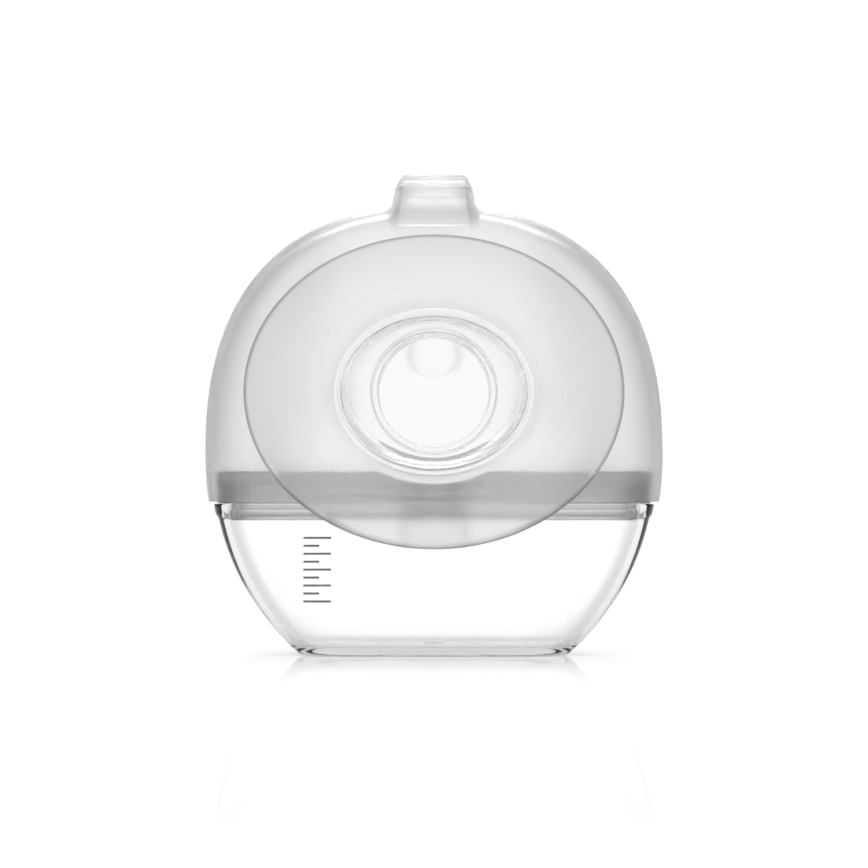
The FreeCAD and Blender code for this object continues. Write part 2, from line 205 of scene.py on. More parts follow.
# Looks: each stop is a place on a scale from 0 to 1 and the grey there
# Painted shade along the clear cup's side walls where they are seen edge on
CUP_EDGE_SHADE = ((0.3, 1.0), (0.45, 0.78), (0.7, 0.6), (1.0, 0.48))
# Painted shade on the dome's sides, by how far they face left or right
DOME_SIDE_SHADE = ((0.2, 0.98), (0.45, 0.8), (0.7, 0.88), (1.0, 0.98))
# Painted shade towards the shield's rim and on its tunnel walls seen edge on
SHIELD_RIM_SHADE = ((0.45, 1.0), (0.8, 0.96), (0.975, 0.86), (0.99, 0.45))
TUNNEL_EDGE_SHADE = ((0.8, 1.0), (0.97, 0.5))
TUNNEL_REACH = 0.43
POLISHED_REACH = (0.45, 0.75)
POLISH = (0.5, 1.2)
SPIGOT_GREY = 0.95
LID_GREY = 0.7
ROOM_WHITE = 1.04
ROOM_SIDE_GREY = 0.36
LAMPS = ((-0.6, -0.9, 0.9, 4), (0.7, -0.8, 0.8, 3), (0, 0.9, 1.0, 4))
LAMP_AIM = (0, 0, 0.06)
LAMP_SIZE = 0.6
FLOOR_SIZE = 3.0

# Camera
CAMERA_DISTANCE = 750.0
CAMERA_Z = 41.4
CAMERA_SHIFT = 0.0588
WIDTH_SEEN = 212.7
SENSOR_WIDTH = 36

# Meshes
COLUMNS = 240
ANGLES = np.linspace(0, 2 * math.pi, COLUMNS, endpoint=False)
VOXEL = 0.7
CAP_VOXEL = 0.3
CAP_FILLET = 1.2


# Outlines --------------------------------------------------------------------


def outline(half_width, rear, front, squareness=None):
    """Points (x, y) of a superellipse that may be deeper and squarer behind than in front."""
    along, across = np.cos(ANGLES), np.sin(ANGLES)
    if squareness is None:
        power = np.where(across < 0, REAR_SQUARENESS, FRONT_SQUARENESS)
    else:
        power = np.full(COLUMNS, float(squareness))
    reach = (np.abs(along) ** power + np.abs(across) ** power) ** (-1 / power)
    depth = np.where(across < 0, rear, front)
    return np.stack([half_width * along * reach, depth * across * reach], axis=1)


def level_ring(z, points, y0=0.0):
    return np.stack([points[:, 0], points[:, 1] + y0, np.full(len(points), float(z))], axis=1)


def circle_ring(z, radius, y0):
    return level_ring(z, outline(radius, radius, radius, 2), y0)


def upright_ring(y, half_width, half_height, z0):
    """An ellipse in the plane at y, clockwise seen from the wearer's side."""
    x = half_width * np.cos(ANGLES)
    z = z0 - half_height * np.sin(ANGLES)
    return np.stack([x, np.full(COLUMNS, float(y)), z], axis=1)


def dome_sizes(z, inset=0.0):
    crest = CREST_Z - inset
    half, rear, front = DOME_HALF_WIDTH - inset, DOME_REAR - inset, DOME_FRONT - inset
    if z > WAIST_Z:
        rise = (z - WAIST_Z) / (crest - WAIST_Z)
        half *= (1 - rise**ARCH_RISE_POWER) ** (1 / ARCH_WIDTH_POWER)
        rear *= (1 - rise**REAR_POWER) ** (1 / REAR_POWER)
    else:
        half -= SKIRT_TUCK * ((WAIST_Z - z) / (WAIST_Z - SKIRT_Z)) ** 2
    if z > BELLY_Z:
        rise = (z - BELLY_Z) / (crest - BELLY_Z)
        front *= (1 - rise**BELLY_POWER) ** (1 / BELLY_POWER)
    else:
        front -= BELLY_TUCK * ((BELLY_Z - z) / (BELLY_Z - SKIRT_Z)) ** 2
    return half, rear, front


def skirt_inset(z):
    share = min(1.0, max(0.0, (z - SKIRT_Z) / (LID_TOP_Z - SKIRT_Z)))
    return SKIRT_WALL + (DOME_WALL - SKIRT_WALL) * share


def cup_sizes(z, inset=0.0):
    arc = math.sqrt(SIDE_ARC_RADIUS**2 - (SIDE_ARC_Z - z) ** 2)
    foot = math.sqrt(SIDE_ARC_RADIUS**2 - SIDE_ARC_Z**2)
    top = math.sqrt(SIDE_ARC_RADIUS**2 - (SIDE_ARC_Z - LIP_Z) ** 2)
    share = (arc - foot) / (top - foot)
    rear = BASE_HALF_DEPTH + (CUP_REAR - BASE_HALF_DEPTH) * share
    front = BASE_HALF_DEPTH + (CUP_FRONT - BASE_HALF_DEPTH) * share
    return SIDE_ARC_X + arc - inset, rear - inset, front - inset


def cup_ring(z, inset=0.0, scale=1.0):
    return level_ring(z, outline(*cup_sizes(z, inset)) * scale)


def lid_ring(z, inset=0.0):
    """The lid's rim at height z, which nests inside the dome's skirt."""
    return level_ring(z, outline(*dome_sizes(z, skirt_inset(z) + NEST_GAP + inset)))


def spigot_ring(z, inset=0.0):
    return level_ring(z, outline(*cup_sizes(SPIGOT_Z, SPIGOT_INSET + inset)))


def spout_ring(z):
    drop = SPOUT_TOP_Z - z
    half = SPOUT_HALF_WIDTH + SPOUT_WIDTH_DRAFT * drop
    front = SPOUT_FRONT + SPOUT_FRONT_DRAFT * drop
    return level_ring(z, outline(half, SPOUT_REAR, front, 4), SPOUT_Y)


# Meshes ----------------------------------------------------------------------


def spread(low, high, steps):
    return [low + (high - low) * i / steps for i in range(steps + 1)]


def rounded(profile, closed=True, steps=6):
    """Rings of a profile given as (ring, radius) pairs, with each corner rounded by about its radius."""
    rings = []
    count = len(profile)
    for k, (ring, radius) in enumerate(profile):
        if radius == 0 or (not closed and k in (0, count - 1)):
            rings.append(ring)
            continue
        ends = []
        for other, _ in (profile[k - 1], profile[(k + 1) % count]):
            step = other - ring
            length = np.maximum(np.linalg.norm(step, axis=1, keepdims=True), 1e-6)
            ends.append(ring + step / length * np.minimum(radius, 0.48 * length))
        for t in spread(0, 1, steps):
            rings.append((1 - t) ** 2 * ends[0] + 2 * t * (1 - t) * ring + t * t * ends[1])
    return rings


def ring_faces(rows, columns, closed):
    faces = []
    for i in range(rows if closed else rows - 1):
        j = np.arange(columns)
        low, high = i * columns, (i + 1) % rows * columns
        nxt = (j + 1) % columns
        faces.append(np.stack([low + j, low + nxt, high + nxt, high + j], axis=1))
    return np.concatenate(faces)


def new_object(name, points, faces):
    """A smooth-shaded mesh object with outward normals, from points in millimetres."""
    mesh = bpy.data.meshes.new(name)
    mesh.from_pydata((np.asarray(points, float) * MM).tolist(), [], [list(map(int, f)) for f in faces])
    work = bmesh.new()
    work.from_mesh(mesh)
    bmesh.ops.recalc_face_normals(work, faces=work.faces)
    work.to_mesh(mesh)
    work.free()
    mesh.shade_smooth()
    mesh.set_sharp_from_angle(angle=math.radians(50))
    obj = bpy.data.objects.new(name, mesh)
    bpy.context.scene.collection.objects.link(obj)
    return obj


def loft(name, rings, closed=True):
    """A closed surface through rings: a tube bent back on itself, or one with a flat cap at each end."""
    columns = len(rings[0])
    faces = ring_faces(len(rings), columns, closed).tolist()
    if not closed:
        last = (len(rings) - 1) * columns
        faces.append(list(range(columns))[::-1])
        faces.append(list(range(last, last + columns)))
    return new_object(name, np.concatenate(rings), faces)


def finish(obj, body, node_names, material):
    """Gives a piece its material in a material slot and its body, and hides the CAD nodes it stands in for.
    """
    obj.data.materials.append(material)
    if body:
        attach(obj, body)
    if node_names:
        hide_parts(*node_names)
    return obj


# Container, lid, gasket and valve ------------------------------------------------


def milk_cup():
    lip_foot = LIP_Z - LIP_HEIGHT
    profile = [(cup_ring(0, 0, 0.004), 0), (cup_ring(0, 0, 0.5), 0), (cup_ring(0, 1.2, 0.9), 0)]
    profile.append((cup_ring(0), BASE_ROUND))
    profile += [(cup_ring(z), 0) for z in spread(3, lip_foot - 1.5, 14)]
    profile.append((cup_ring(lip_foot - 1), 0.8))
    profile.append((cup_ring(lip_foot, -LIP_REACH), 0.8))
    profile.append((cup_ring(LIP_Z, -LIP_REACH), 0.6))
    profile.append((cup_ring(LIP_Z, CUP_WALL), 0.6))
    profile += [(cup_ring(z, CUP_WALL), 0) for z in spread(LIP_Z - 2, FLOOR + 4, 14)]
    profile.append((cup_ring(FLOOR, CUP_WALL), FLOOR_ROUND))
    profile += [(cup_ring(FLOOR, CUP_WALL, scale), 0) for scale in (0.85, 0.5)]
    profile += [(cup_ring(FLOOR, CUP_WALL, scale) + [0, 0, rise], 0) for scale, rise in GATE_MARK]
    return loft("cup_shell", rounded(profile, closed=False), closed=False)


def lid_plate():
    """The lid as one profile, with a saddle for the frame cut into the back of its rim."""
    profile = [
        (circle_ring(PLATE_TOP_Z, FUNNEL_RADIUS, DRAIN_Y), 1.0),
        (circle_ring(PLATE_TOP_Z - FUNNEL_DROP, DRAIN_BORE, DRAIN_Y), 0.4),
        (circle_ring(BOSS_END_Z, DRAIN_BORE, DRAIN_Y), 0.3),
        (circle_ring(BOSS_END_Z, BOSS_RADIUS, DRAIN_Y), 0.4),
        (circle_ring(PLATE_Z, BOSS_RADIUS, DRAIN_Y), 0.6),
        (spigot_ring(PLATE_Z, SPIGOT_WALL), 1.0),
        (spigot_ring(SPIGOT_Z, SPIGOT_WALL), 0.5),
        (spigot_ring(SPIGOT_Z), 0.5),
        (spigot_ring(GROOVE_LOW_Z), 0.2),
        (spigot_ring(GROOVE_LOW_Z, GROOVE_DEPTH), 0.2),
        (spigot_ring(GROOVE_HIGH_Z, GROOVE_DEPTH), 0.2),
        (spigot_ring(GROOVE_HIGH_Z), 0.2),
        (spigot_ring(LIP_Z + 0.1), 0.2),
        (lid_ring(LIP_Z + 0.1), 0.5),
        (lid_ring(BEAD_Z - BEAD_HALF_HEIGHT), 0.15),
        (lid_ring(BEAD_Z - BEAD_HALF_HEIGHT, BEAD_DEPTH), 0.2),
        (lid_ring(BEAD_Z + BEAD_HALF_HEIGHT, BEAD_DEPTH), 0.2),
        (lid_ring(BEAD_Z + BEAD_HALF_HEIGHT), 0.15),
        (lid_ring(LID_TOP_Z), 0.9),
        (lid_ring(LID_TOP_Z, LID_RIM), 0.7),
        (lid_ring(PLATE_TOP_Z, LID_RIM), 1.2),
    ]
    rings = rounded(profile)
    half_width = FRAME_HIGH[0] + NEST_GAP
    half_height = FRAME_Z - FRAME_LOW[2] + NEST_GAP
    for ring in rings:
        aside = np.abs(ring[:, 0])
        height = ring[:, 2]
        under_frame = (ring[:, 1] < 0) & (aside < half_width) & (height > PLATE_TOP_Z)
        share = np.minimum(aside / half_width, 1)
        saddle = np.maximum(FRAME_Z - half_height * np.sqrt(1 - share**2), PLATE_TOP_Z + 0.1)
        ring[:, 2] = np.where(under_frame, np.minimum(height, saddle), height)
    return loft("lid_shell", rings)


def gasket():
    low, high = GASKET_LOW[2], GASKET_HIGH[2]
    profile = [
        (spigot_ring(low, 0.75), 0.2),
        (spigot_ring(low, 0.2), 0.3),
        (spigot_ring((low + high) / 2, -0.2), 0.5),
        (spigot_ring(high, 0.2), 0.3),
        (spigot_ring(high, 0.75), 0.2),
    ]
    return loft("gasket_ring", rounded(profile))


def duckbill():
    """The valve: a sleeve with a rolled edge that narrows to two flat lips with a slit between them."""
    bore = BOSS_RADIUS + NEST_GAP / 2
    wall = VALVE_HIGH[1] - DRAIN_Y - VALVE_ROLL_RADIUS - bore
    outer = bore + wall
    top, tip = VALVE_HIGH[2], VALVE_LOW[2]

    def lips(share, inset):
        half = outer + (VALVE_TIP_HALF_WIDTH - outer) * share - inset
        depth = outer + (VALVE_TIP_HALF_DEPTH - outer) * share - inset
        z = VALVE_SHOULDER_Z + (tip - VALVE_SHOULDER_Z) * share
        return level_ring(z, outline(half, depth, depth, 2 + 2 * share), DRAIN_Y)

    slit = outline(VALVE_SLIT_HALF_LENGTH, VALVE_SLIT_HALF_WIDTH, VALVE_SLIT_HALF_WIDTH, 4)
    profile = [(circle_ring(top, outer, DRAIN_Y), 0.5)]
    for degrees in spread(70, -70, 6):
        angle = math.radians(degrees)
        z = top - VALVE_ROLL_DROP + VALVE_ROLL_RADIUS * math.sin(angle)
        profile.append((circle_ring(z, outer + VALVE_ROLL_RADIUS * math.cos(angle), DRAIN_Y), 0))
    profile.append((circle_ring(top - 2 * VALVE_ROLL_DROP, outer, DRAIN_Y), 0.4))
    profile += [(lips(share, 0), 0) for share in spread(0, 0.95, 10)]
    profile.append((lips(1, 0), 0.5))
    profile.append((level_ring(tip, slit, DRAIN_Y), 0.05))
    profile.append((level_ring(tip + 1, slit, DRAIN_Y), 0.05))
    profile += [(lips(share, wall * 0.6), 0) for share in spread(0.9, 0, 8)]
    profile.append((circle_ring(top, bore, DRAIN_Y), 0.4))
    return loft("valve_body", rounded(profile))


# Shield and frame ------------------------------------------------------------------


def bell_ring(y, wall=0.0):
    """The shield's section at y: its inner skin, or its outer skin with a wall's thickness."""
    flare = max(0.0, (y - NECK_END_Y) / (SHIELD_RIM_Y - NECK_END_Y)) ** BELL_POWER
    rim_width = SHIELD_HIGH[0] - SHIELD_WALL - NECK_HALF_WIDTH
    rim_height = (SHIELD_HIGH[2] - SHIELD_LOW[2]) / 2 - SHIELD_WALL - NECK_HALF_HEIGHT
    deep = max(0.0, (y - NECK_END_Y) / (NECK_FLOOR_Y - NECK_END_Y))
    half_width = NECK_HALF_WIDTH + rim_width * flare - NECK_WIDTH_DRAFT * deep + wall
    half_height = NECK_HALF_HEIGHT + rim_height * flare - NECK_HEIGHT_DRAFT * deep + wall
    back = wall * (y - SHIELD_RIM_Y) / (NECK_FLOOR_Y - SHIELD_RIM_Y)
    return upright_ring(y + back, half_width, half_height, FRAME_Z + (SHIELD_Z - FRAME_Z) * flare)


def shield():
    """The shield as one profile: in over the bell, through the tunnel, and back out behind the bell."""
    outer = TUNNEL_RADIUS + SHIELD_WALL
    back_floor = NECK_FLOOR_Y + SHIELD_WALL
    profile = [(bell_ring(y), 0) for y in spread(SHIELD_RIM_Y + 0.4, NECK_END_Y + 0.5, 24)]
    profile += [
        (bell_ring(NECK_FLOOR_Y), NECK_ROUND),
        (upright_ring(NECK_FLOOR_Y, outer, outer, TUNNEL_Z), 0.15),
        (upright_ring(TUNNEL_MOUTH_Y, outer, outer, TUNNEL_Z), 0.3),
        (upright_ring(TUNNEL_MOUTH_Y, TUNNEL_RADIUS, TUNNEL_RADIUS, TUNNEL_Z), 0.3),
        (upright_ring(TUNNEL_MIDDLE_Y, TUNNEL_RADIUS, TUNNEL_RADIUS, TUNNEL_Z), 0),
        (upright_ring(TUNNEL_END_Y, TUNNEL_RADIUS, TUNNEL_RADIUS, TUNNEL_Z), 0.5),
        (upright_ring(TUNNEL_END_Y, outer, outer, TUNNEL_Z), 0.5),
        (upright_ring(TUNNEL_MIDDLE_Y, outer, outer, TUNNEL_Z), 0),
        (upright_ring(back_floor, outer, outer, TUNNEL_Z), 0.6),
        (bell_ring(NECK_FLOOR_Y, SHIELD_WALL), NECK_ROUND),
    ]
    profile += [(bell_ring(y, SHIELD_WALL), 0) for y in spread(NECK_END_Y + 0.5, SHIELD_RIM_Y + 0.6, 24)]
    profile.append((bell_ring(SHIELD_RIM_Y, SHIELD_WALL), 0.35))
    profile.append((bell_ring(SHIELD_RIM_Y), 0.35))
    return loft("shield_bell", rounded(profile))


def clamp_frame():
    """The channel ring that grips the edge of the dome's back opening."""
    rear, front = FRAME_LOW[1], FRAME_HIGH[1]
    width = FRAME_HIGH[0] - FRAME_WEB - FRAME_FLANGE
    height = (FRAME_HIGH[2] - FRAME_LOW[2]) / 2 - FRAME_WEB - FRAME_FLANGE
    wide = FRAME_WEB + FRAME_FLANGE

    def ring(y, reach):
        return upright_ring(y, width + reach, height + reach, FRAME_Z)

    profile = [
        (ring(rear, 0), 0.3),
        (ring(front, 0), 0.3),
        (ring(front, wide), 0.5),
        (ring(front - FRAME_FLANGE_THICKNESS, wide), 0.4),
        (ring(front - FRAME_FLANGE_THICKNESS, FRAME_WEB), 0.2),
        (ring(rear + FRAME_FLANGE_THICKNESS, FRAME_WEB), 0.2),
        (ring(rear + FRAME_FLANGE_THICKNESS, wide), 0.4),
        (ring(rear, wide), 0.5),
    ]
    return loft("frame_channel", rounded(profile))


# Dome ------------------------------------------------------------------------------


def level_set(rings, voxel, band):
    """A signed distance grid of the closed surface through rings."""
    columns = len(rings[0])
    points = np.concatenate(rings).astype(np.float32)
    quads = ring_faces(len(rings), columns, False).astype(np.uint32)
    j = np.arange(1, columns - 1)
    last = (len(rings) - 1) * columns
    bottom = np.stack([np.zeros_like(j), j + 1, j], axis=1)
    top = np.stack([np.zeros_like(j) + last, last + j, last + j + 1], axis=1)
    caps = np.concatenate([bottom, top]).astype(np.uint32)
    transform = openvdb.createLinearTransform(voxelSize=voxel)
    return openvdb.FloatGrid.createLevelSetFromPolygons(
        points, triangles=caps, quads=quads, transform=transform, halfWidth=band
    )


def joined(grids, fillet):
    """The points and quads of several grids' union, with a fillet where they meet."""
    boxes = [grid.evalActiveVoxelBoundingBox() for grid in grids]
    low = np.min([box[0] for box in boxes], axis=0)
    high = np.max([box[1] for box in boxes], axis=0)
    total = None
    for grid in grids:
        values = np.full(high - low + 1, grid.background, dtype=np.float32)
        grid.copyToArray(values, ijk=tuple(int(c) for c in low))
        if total is None:
            total = values
            continue
        near = np.maximum(fillet - np.abs(total - values), 0) / fillet
        total = np.minimum(total, values) - near * near * fillet / 4
    result = openvdb.FloatGrid(grids[0].background)
    result.transform = grids[0].transform
    result.copyFromArray(total, ijk=tuple(int(c) for c in low))
    return result.convertToQuads(isovalue=0)


def dome_rings():
    rise = CREST_Z - WAIST_Z
    heights = spread(SKIRT_Z - 2, WAIST_Z, 12)
    heights += [WAIST_Z + rise * math.sin(math.radians(a)) for a in spread(1, 89.4, 70)]
    return [level_ring(z, outline(*dome_sizes(z))) for z in heights]


def trim(obj):
    """Cuts the dome's open foot, spout mouth and back opening out of its closed skin."""
    work = bmesh.new()
    work.from_mesh(obj.data)
    for z, up in ((SKIRT_Z, -1), (SPOUT_TOP_Z, 1)):
        everything = list(work.verts) + list(work.edges) + list(work.faces)
        bmesh.ops.bisect_plane(
            work, geom=everything, plane_co=(0, 0, z * MM), plane_no=(0, 0, up), clear_outer=True, dist=1e-6
        )
    half_width = (FRAME_HIGH[0] - FRAME_FLANGE + NEST_GAP) * MM
    half_height = ((FRAME_HIGH[2] - FRAME_LOW[2]) / 2 - FRAME_FLANGE + NEST_GAP) * MM

    def reach(point):
        return math.hypot(point.x / half_width, (point.z - FRAME_Z * MM) / half_height)

    behind = BACK_WALL_Y * MM
    inside = []
    for face in work.faces:
        middle = face.calc_center_median()
        if middle.y < behind and reach(middle) < 1:
            inside.append(face)
    bmesh.ops.delete(work, geom=inside, context="FACES")
    for vert in work.verts:
        if vert.is_boundary and vert.co.y < behind and 0.8 < reach(vert.co) < 1.2:
            share = reach(vert.co)
            vert.co.x /= share
            vert.co.z = FRAME_Z * MM + (vert.co.z - FRAME_Z * MM) / share
    bmesh.ops.recalc_face_normals(work, faces=work.faces)
    work.to_mesh(obj.data)
    work.free()


def press_ring(obj):
    """One plain raised ring on the front wall, where the thumb presses."""
    for vert in obj.data.vertices:
        x, y, z = vert.co / MM
        if y < FRONT_WALL_Y:
            continue
        radius = math.hypot(x, z - PRESS_RING_Z)
        height = math.exp(-(((radius - PRESS_RING_RADIUS) / PRESS_RING_BAND) ** 4))
        vert.co.y -= PRESS_RING_HEIGHT * (1 - height) * MM * max(0.0, 1 - radius / PRESS_RING_FADE)


def dome():
    """The dome and its spout as one skin, with a wall that gets thinner in the skirt and the spout."""
    spout = [spout_ring(z) for z in spread(SPOUT_FOOT_Z - 3, SPOUT_TOP_Z + 2, 10)]
    grids = [level_set(rings, VOXEL, 7) for rings in (dome_rings(), spout)]
    points, quads = joined(grids, SPOUT_FILLET)
    obj = new_object("dome_skin", points, quads)
    trim(obj)
    press_ring(obj)
    obj.data.shade_smooth()
    wall = obj.vertex_groups.new(name="wall")
    for vert in obj.data.vertices:
        z = vert.co.z / MM
        spout_share = min(1.0, max(0.0, (z - CREST_Z + 4) / 4))
        thickness = skirt_inset(z) * 0.97 + (SPOUT_WALL - DOME_WALL) * spout_share
        wall.add([vert.index], thickness / DOME_WALL, "REPLACE")
    shell = obj.modifiers.new("wall", "SOLIDIFY")
    shell.thickness = DOME_WALL * MM
    shell.offset = -1
    shell.vertex_group = "wall"
    edges = obj.modifiers.new("edges", "BEVEL")
    edges.width = 0.4 * MM
    edges.segments = 2
    edges.limit_method = "ANGLE"
    edges.angle_limit = math.radians(55)
    return obj


# Cap and strap -----------------------------------------------------------------------


def cap_body():
    """The cap's plate with the plug under it."""
    low = SPOUT_TOP_Z + 0.1
    top = CAP_HIGH[2]
    inset = SPOUT_WALL + NEST_GAP

    def ring(z, amount):
        points = outline(SPOUT_HALF_WIDTH - amount, SPOUT_REAR - amount, SPOUT_FRONT - amount, 4)
        return level_ring(z, points, SPOUT_Y)

    profile = [
        (ring(CAP_LOW[2], 7.2), 0),
        (ring(CAP_LOW[2], inset + 1.0), 0.6),
        (ring(low - 0.4, inset), 0.3),
        (ring(low, inset), 0.2),
        (ring(low, 0.1), 0.35),
        (ring(top - 1.2, 0.7), 1.0),
        (ring(top, 1.4), 1.1),
        (ring(top, 4.0), 0),
        (ring(top, 7.2), 0),
    ]
    return rounded(profile, closed=False)


def cap_thumb():
    """The lip under the cap's front that a thumb lifts."""
    low = SPOUT_TOP_Z + 0.1
    tip = CAP_HIGH[1]
    rear = SPOUT_Y + 1
    middle = (tip + rear) / 2
    rings = []
    for z, inset in ((low, 0.4), (low, 0), (low + 1.5, 0), (low + 1.8, 0.5)):
        points = outline(THUMB_HALF_WIDTH - inset, middle - rear - inset, tip - middle - inset, 5)
        rings.append((level_ring(z, points, middle), 0.3))
    return rounded(rings, closed=False)


def cap_arm():
    """The bar along the cap's rear edge that the strap bends into."""
    rear, front = HINGE_Y - 0.2, SPOUT_Y - SPOUT_REAR + 3
    half_depth = (front - rear) / 2
    profile = []
    top = CAP_HIGH[2]
    for z, inset in ((HINGE_Z - 0.7, 0.3), (HINGE_Z - 0.4, 0), (top - 0.5, 0), (top - 0.05, 0.5)):
        points = outline(STRAP_HIGH[0] - inset, half_depth - inset, half_depth - inset, 9)
        profile.append((level_ring(z, points, (rear + front) / 2), 0.3))
    return rounded(profile, closed=False)


def spout_lid():
    """The whole cap as one smooth solid, kept level with the top of its CAD box."""
    grids = [level_set(rings, CAP_VOXEL, 6) for rings in (cap_body(), cap_thumb(), cap_arm())]
    points, quads = joined(grids, CAP_FILLET)
    points[:, 2] = np.minimum(points[:, 2], CAP_HIGH[2])
    return new_object("cap_body", points, quads)


def strap():
    """A strip that climbs the spout's back and bends over into the cap, as one sheet of silicone."""
    rear = CAP_LOW[1]
    foot, top = STRAP_LOW[2], CAP_HIGH[2] - 0.15
    bend_foot = top - STRAP_BEND
    bend_end = rear + STRAP_BEND
    path = [(rear, foot - 0.6), (rear, foot + 1)]
    path += [(rear, z) for z in spread(foot + 2, bend_foot - 0.6, 8)]
    for degrees in spread(0, 90, 8):
        angle = math.radians(degrees)
        path.append((bend_end - STRAP_BEND * math.cos(angle), bend_foot + STRAP_BEND * math.sin(angle)))
    path += [(bend_end + 0.8, top - 0.05), (bend_end + 1.6, top - 0.4)]
    rings = []
    for index, (y, z) in enumerate(path):
        before, after = path[max(index - 1, 0)], path[min(index + 1, len(path) - 1)]
        along = np.array([after[0] - before[0], after[1] - before[1]])
        along = along / np.linalg.norm(along)
        inward = np.array([along[1], -along[0]])
        climb = min(1.0, max(0.0, (z - foot) / (top - foot)))
        width = STRAP_HIGH[0] + STRAP_SPREAD * (1 - climb) ** 3
        half_thickness = (STRAP_THICKNESS if z < bend_foot else STRAP_END_THICKNESS) / 2
        section = outline(width, half_thickness, half_thickness, 7)
        centre = np.array([y, z]) + inward * half_thickness
        ys = centre[0] + section[:, 1] * inward[0]
        zs = centre[1] + section[:, 1] * inward[1]
        rings.append(np.stack([section[:, 0], ys, zs], axis=1))
    obj = loft("cap_hinge_strap", rings, closed=False)
    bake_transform(obj)
    return obj


# Printed marks --------------------------------------------------------------------------


def cup_front(x, z, lift):
    """A point on the cup's front wall, lifted off it by a hair."""
    half, _, front = cup_sizes(z)
    y = front * (1 - (abs(x) / half) ** FRONT_SQUARENESS) ** (1 / FRONT_SQUARENESS)
    return x, y + lift, z


def volume_marks():
    """Plain measuring ticks printed on the outside of the cup's front wall, as thin slabs that follow it."""
    points = []
    faces = []
    side_points = 2 * (TICK_STEPS + 1)
    edge = list(range(0, side_points, 2)) + list(range(side_points - 1, 0, -2))
    for index, z in enumerate(spread(LOWEST_TICK_Z, HIGHEST_TICK_Z, TICKS - 1)):
        length = LONG_TICK if index % 2 == 0 else SHORT_TICK
        for lift in (0.01, 0.05):
            for x in spread(TICK_X, TICK_X + length, TICK_STEPS):
                points.append(cup_front(x, z - TICK_HALF_HEIGHT, lift))
                points.append(cup_front(x, z + TICK_HALF_HEIGHT, lift))
        base = index * 2 * side_points
        for side in (0, side_points):
            for k in range(TICK_STEPS):
                a = base + side + 2 * k
                faces.append([a, a + 2, a + 3, a + 1])
        for k in range(side_points):
            a, b = base + edge[k], base + edge[(k + 1) % side_points]
            faces.append([a, b, b + side_points, a + side_points])
    return new_object("volume_marks", points, faces)


# Shader nodes ------------------------------------------------------------------------------


def coordinate(tree, kind, axis):
    """One axis of one kind of texture coordinate."""
    place = tree.nodes.new("ShaderNodeTexCoord")
    split = tree.nodes.new("ShaderNodeSeparateXYZ")
    tree.links.new(place.outputs[kind], split.inputs["Vector"])
    return split.outputs[axis]


def noise(tree, scale, detail):
    place = tree.nodes.new("ShaderNodeTexCoord")
    node = tree.nodes.new("ShaderNodeTexNoise")
    node.inputs["Scale"].default_value = scale
    node.inputs["Detail"].default_value = detail
    tree.links.new(place.outputs["Object"], node.inputs["Vector"])
    return node.outputs["Fac"]


def calculate(tree, operation, *values):
    """The result of a math node whose inputs are other nodes' results or plain numbers."""
    node = tree.nodes.new("ShaderNodeMath")
    node.operation = operation
    for value, socket in zip(values, node.inputs):
        if isinstance(value, (int, float)):
            socket.default_value = value
        else:
            tree.links.new(value, socket)
    return node.outputs["Value"]


def map_range(tree, value, source, target, interpolation="LINEAR"):
    """A value carried over from one range to another, and held at the ends."""
    node = tree.nodes.new("ShaderNodeMapRange")
    node.interpolation_type = interpolation
    node.inputs["From Min"].default_value = source[0]
    node.inputs["From Max"].default_value = source[1]
    node.inputs["To Min"].default_value = target[0]
    node.inputs["To Max"].default_value = target[1]
    tree.links.new(value, node.inputs["Value"])
    return node.outputs["Result"]


def grey_ramp(tree, value, stops):
    """A colour ramp through greys, given as (place, grey) pairs."""
    ramp = tree.nodes.new("ShaderNodeValToRGB")
    elements = ramp.color_ramp.elements
    for index, (place_on_ramp, grey) in enumerate(stops):
        element = elements[index] if index < 2 else elements.new(place_on_ramp)
        element.position = place_on_ramp
        element.color = (grey, grey, grey, 1)
    tree.links.new(value, ramp.inputs["Fac"])
    return ramp.outputs["Color"]


# Materials ---------------------------------------------------------------------------------


def material(name, colour, roughness, transmission, ior=1.45, bump=0.0, bump_scale=600, rough_spread=0.05):
    """A moulded material: Principled, with fine texture in its roughness and, for a bump, in its surface."""
    result = bpy.data.materials.new(name)
    result.use_nodes = True
    tree = result.node_tree
    shader = tree.nodes["Principled BSDF"]
    shader.inputs["Base Color"].default_value = (*colour, 1)
    shader.inputs["Transmission Weight"].default_value = transmission
    shader.inputs["IOR"].default_value = ior
    cloud = noise(tree, 45, 3)
    uneven = map_range(tree, cloud, (0, 1), (roughness - rough_spread, roughness + rough_spread))
    tree.links.new(uneven, shader.inputs["Roughness"])
    if bump:
        relief = tree.nodes.new("ShaderNodeBump")
        relief.inputs["Strength"].default_value = bump
        relief.inputs["Distance"].default_value = 0.0002
        tree.links.new(noise(tree, bump_scale, 4), relief.inputs["Height"])
        tree.links.new(relief.outputs["Normal"], shader.inputs["Normal"])
    return result


def fill_with_haze(result, density):
    """Makes a clear material darker the further light goes through it."""
    tree = result.node_tree
    depth = tree.nodes.new("ShaderNodeVolumeAbsorption")
    depth.inputs["Color"].default_value = (0.5, 0.51, 0.51, 1)
    depth.inputs["Density"].default_value = density
    tree.links.new(depth.outputs["Volume"], tree.nodes["Material Output"].inputs["Volume"])


def colour_by(result, colour):
    result.node_tree.links.new(colour, result.node_tree.nodes["Principled BSDF"].inputs["Base Color"])


def grade_by_height(result, heights, greys):
    """Grades a material's colour from one grey to another between two heights."""
    tree = result.node_tree
    height = coordinate(tree, "Object", "Z")
    colour_by(result, map_range(tree, height, (heights[0] * MM, heights[1] * MM), greys))


def paint_side_shade(result, stops):
    """Paints shade into a material's colour by how far its surface faces left or right, for an even painted
    shade along both sides.
    """
    tree = result.node_tree
    sideways = calculate(tree, "ABSOLUTE", coordinate(tree, "Normal", "X"))
    colour_by(result, grey_ramp(tree, sideways, stops))


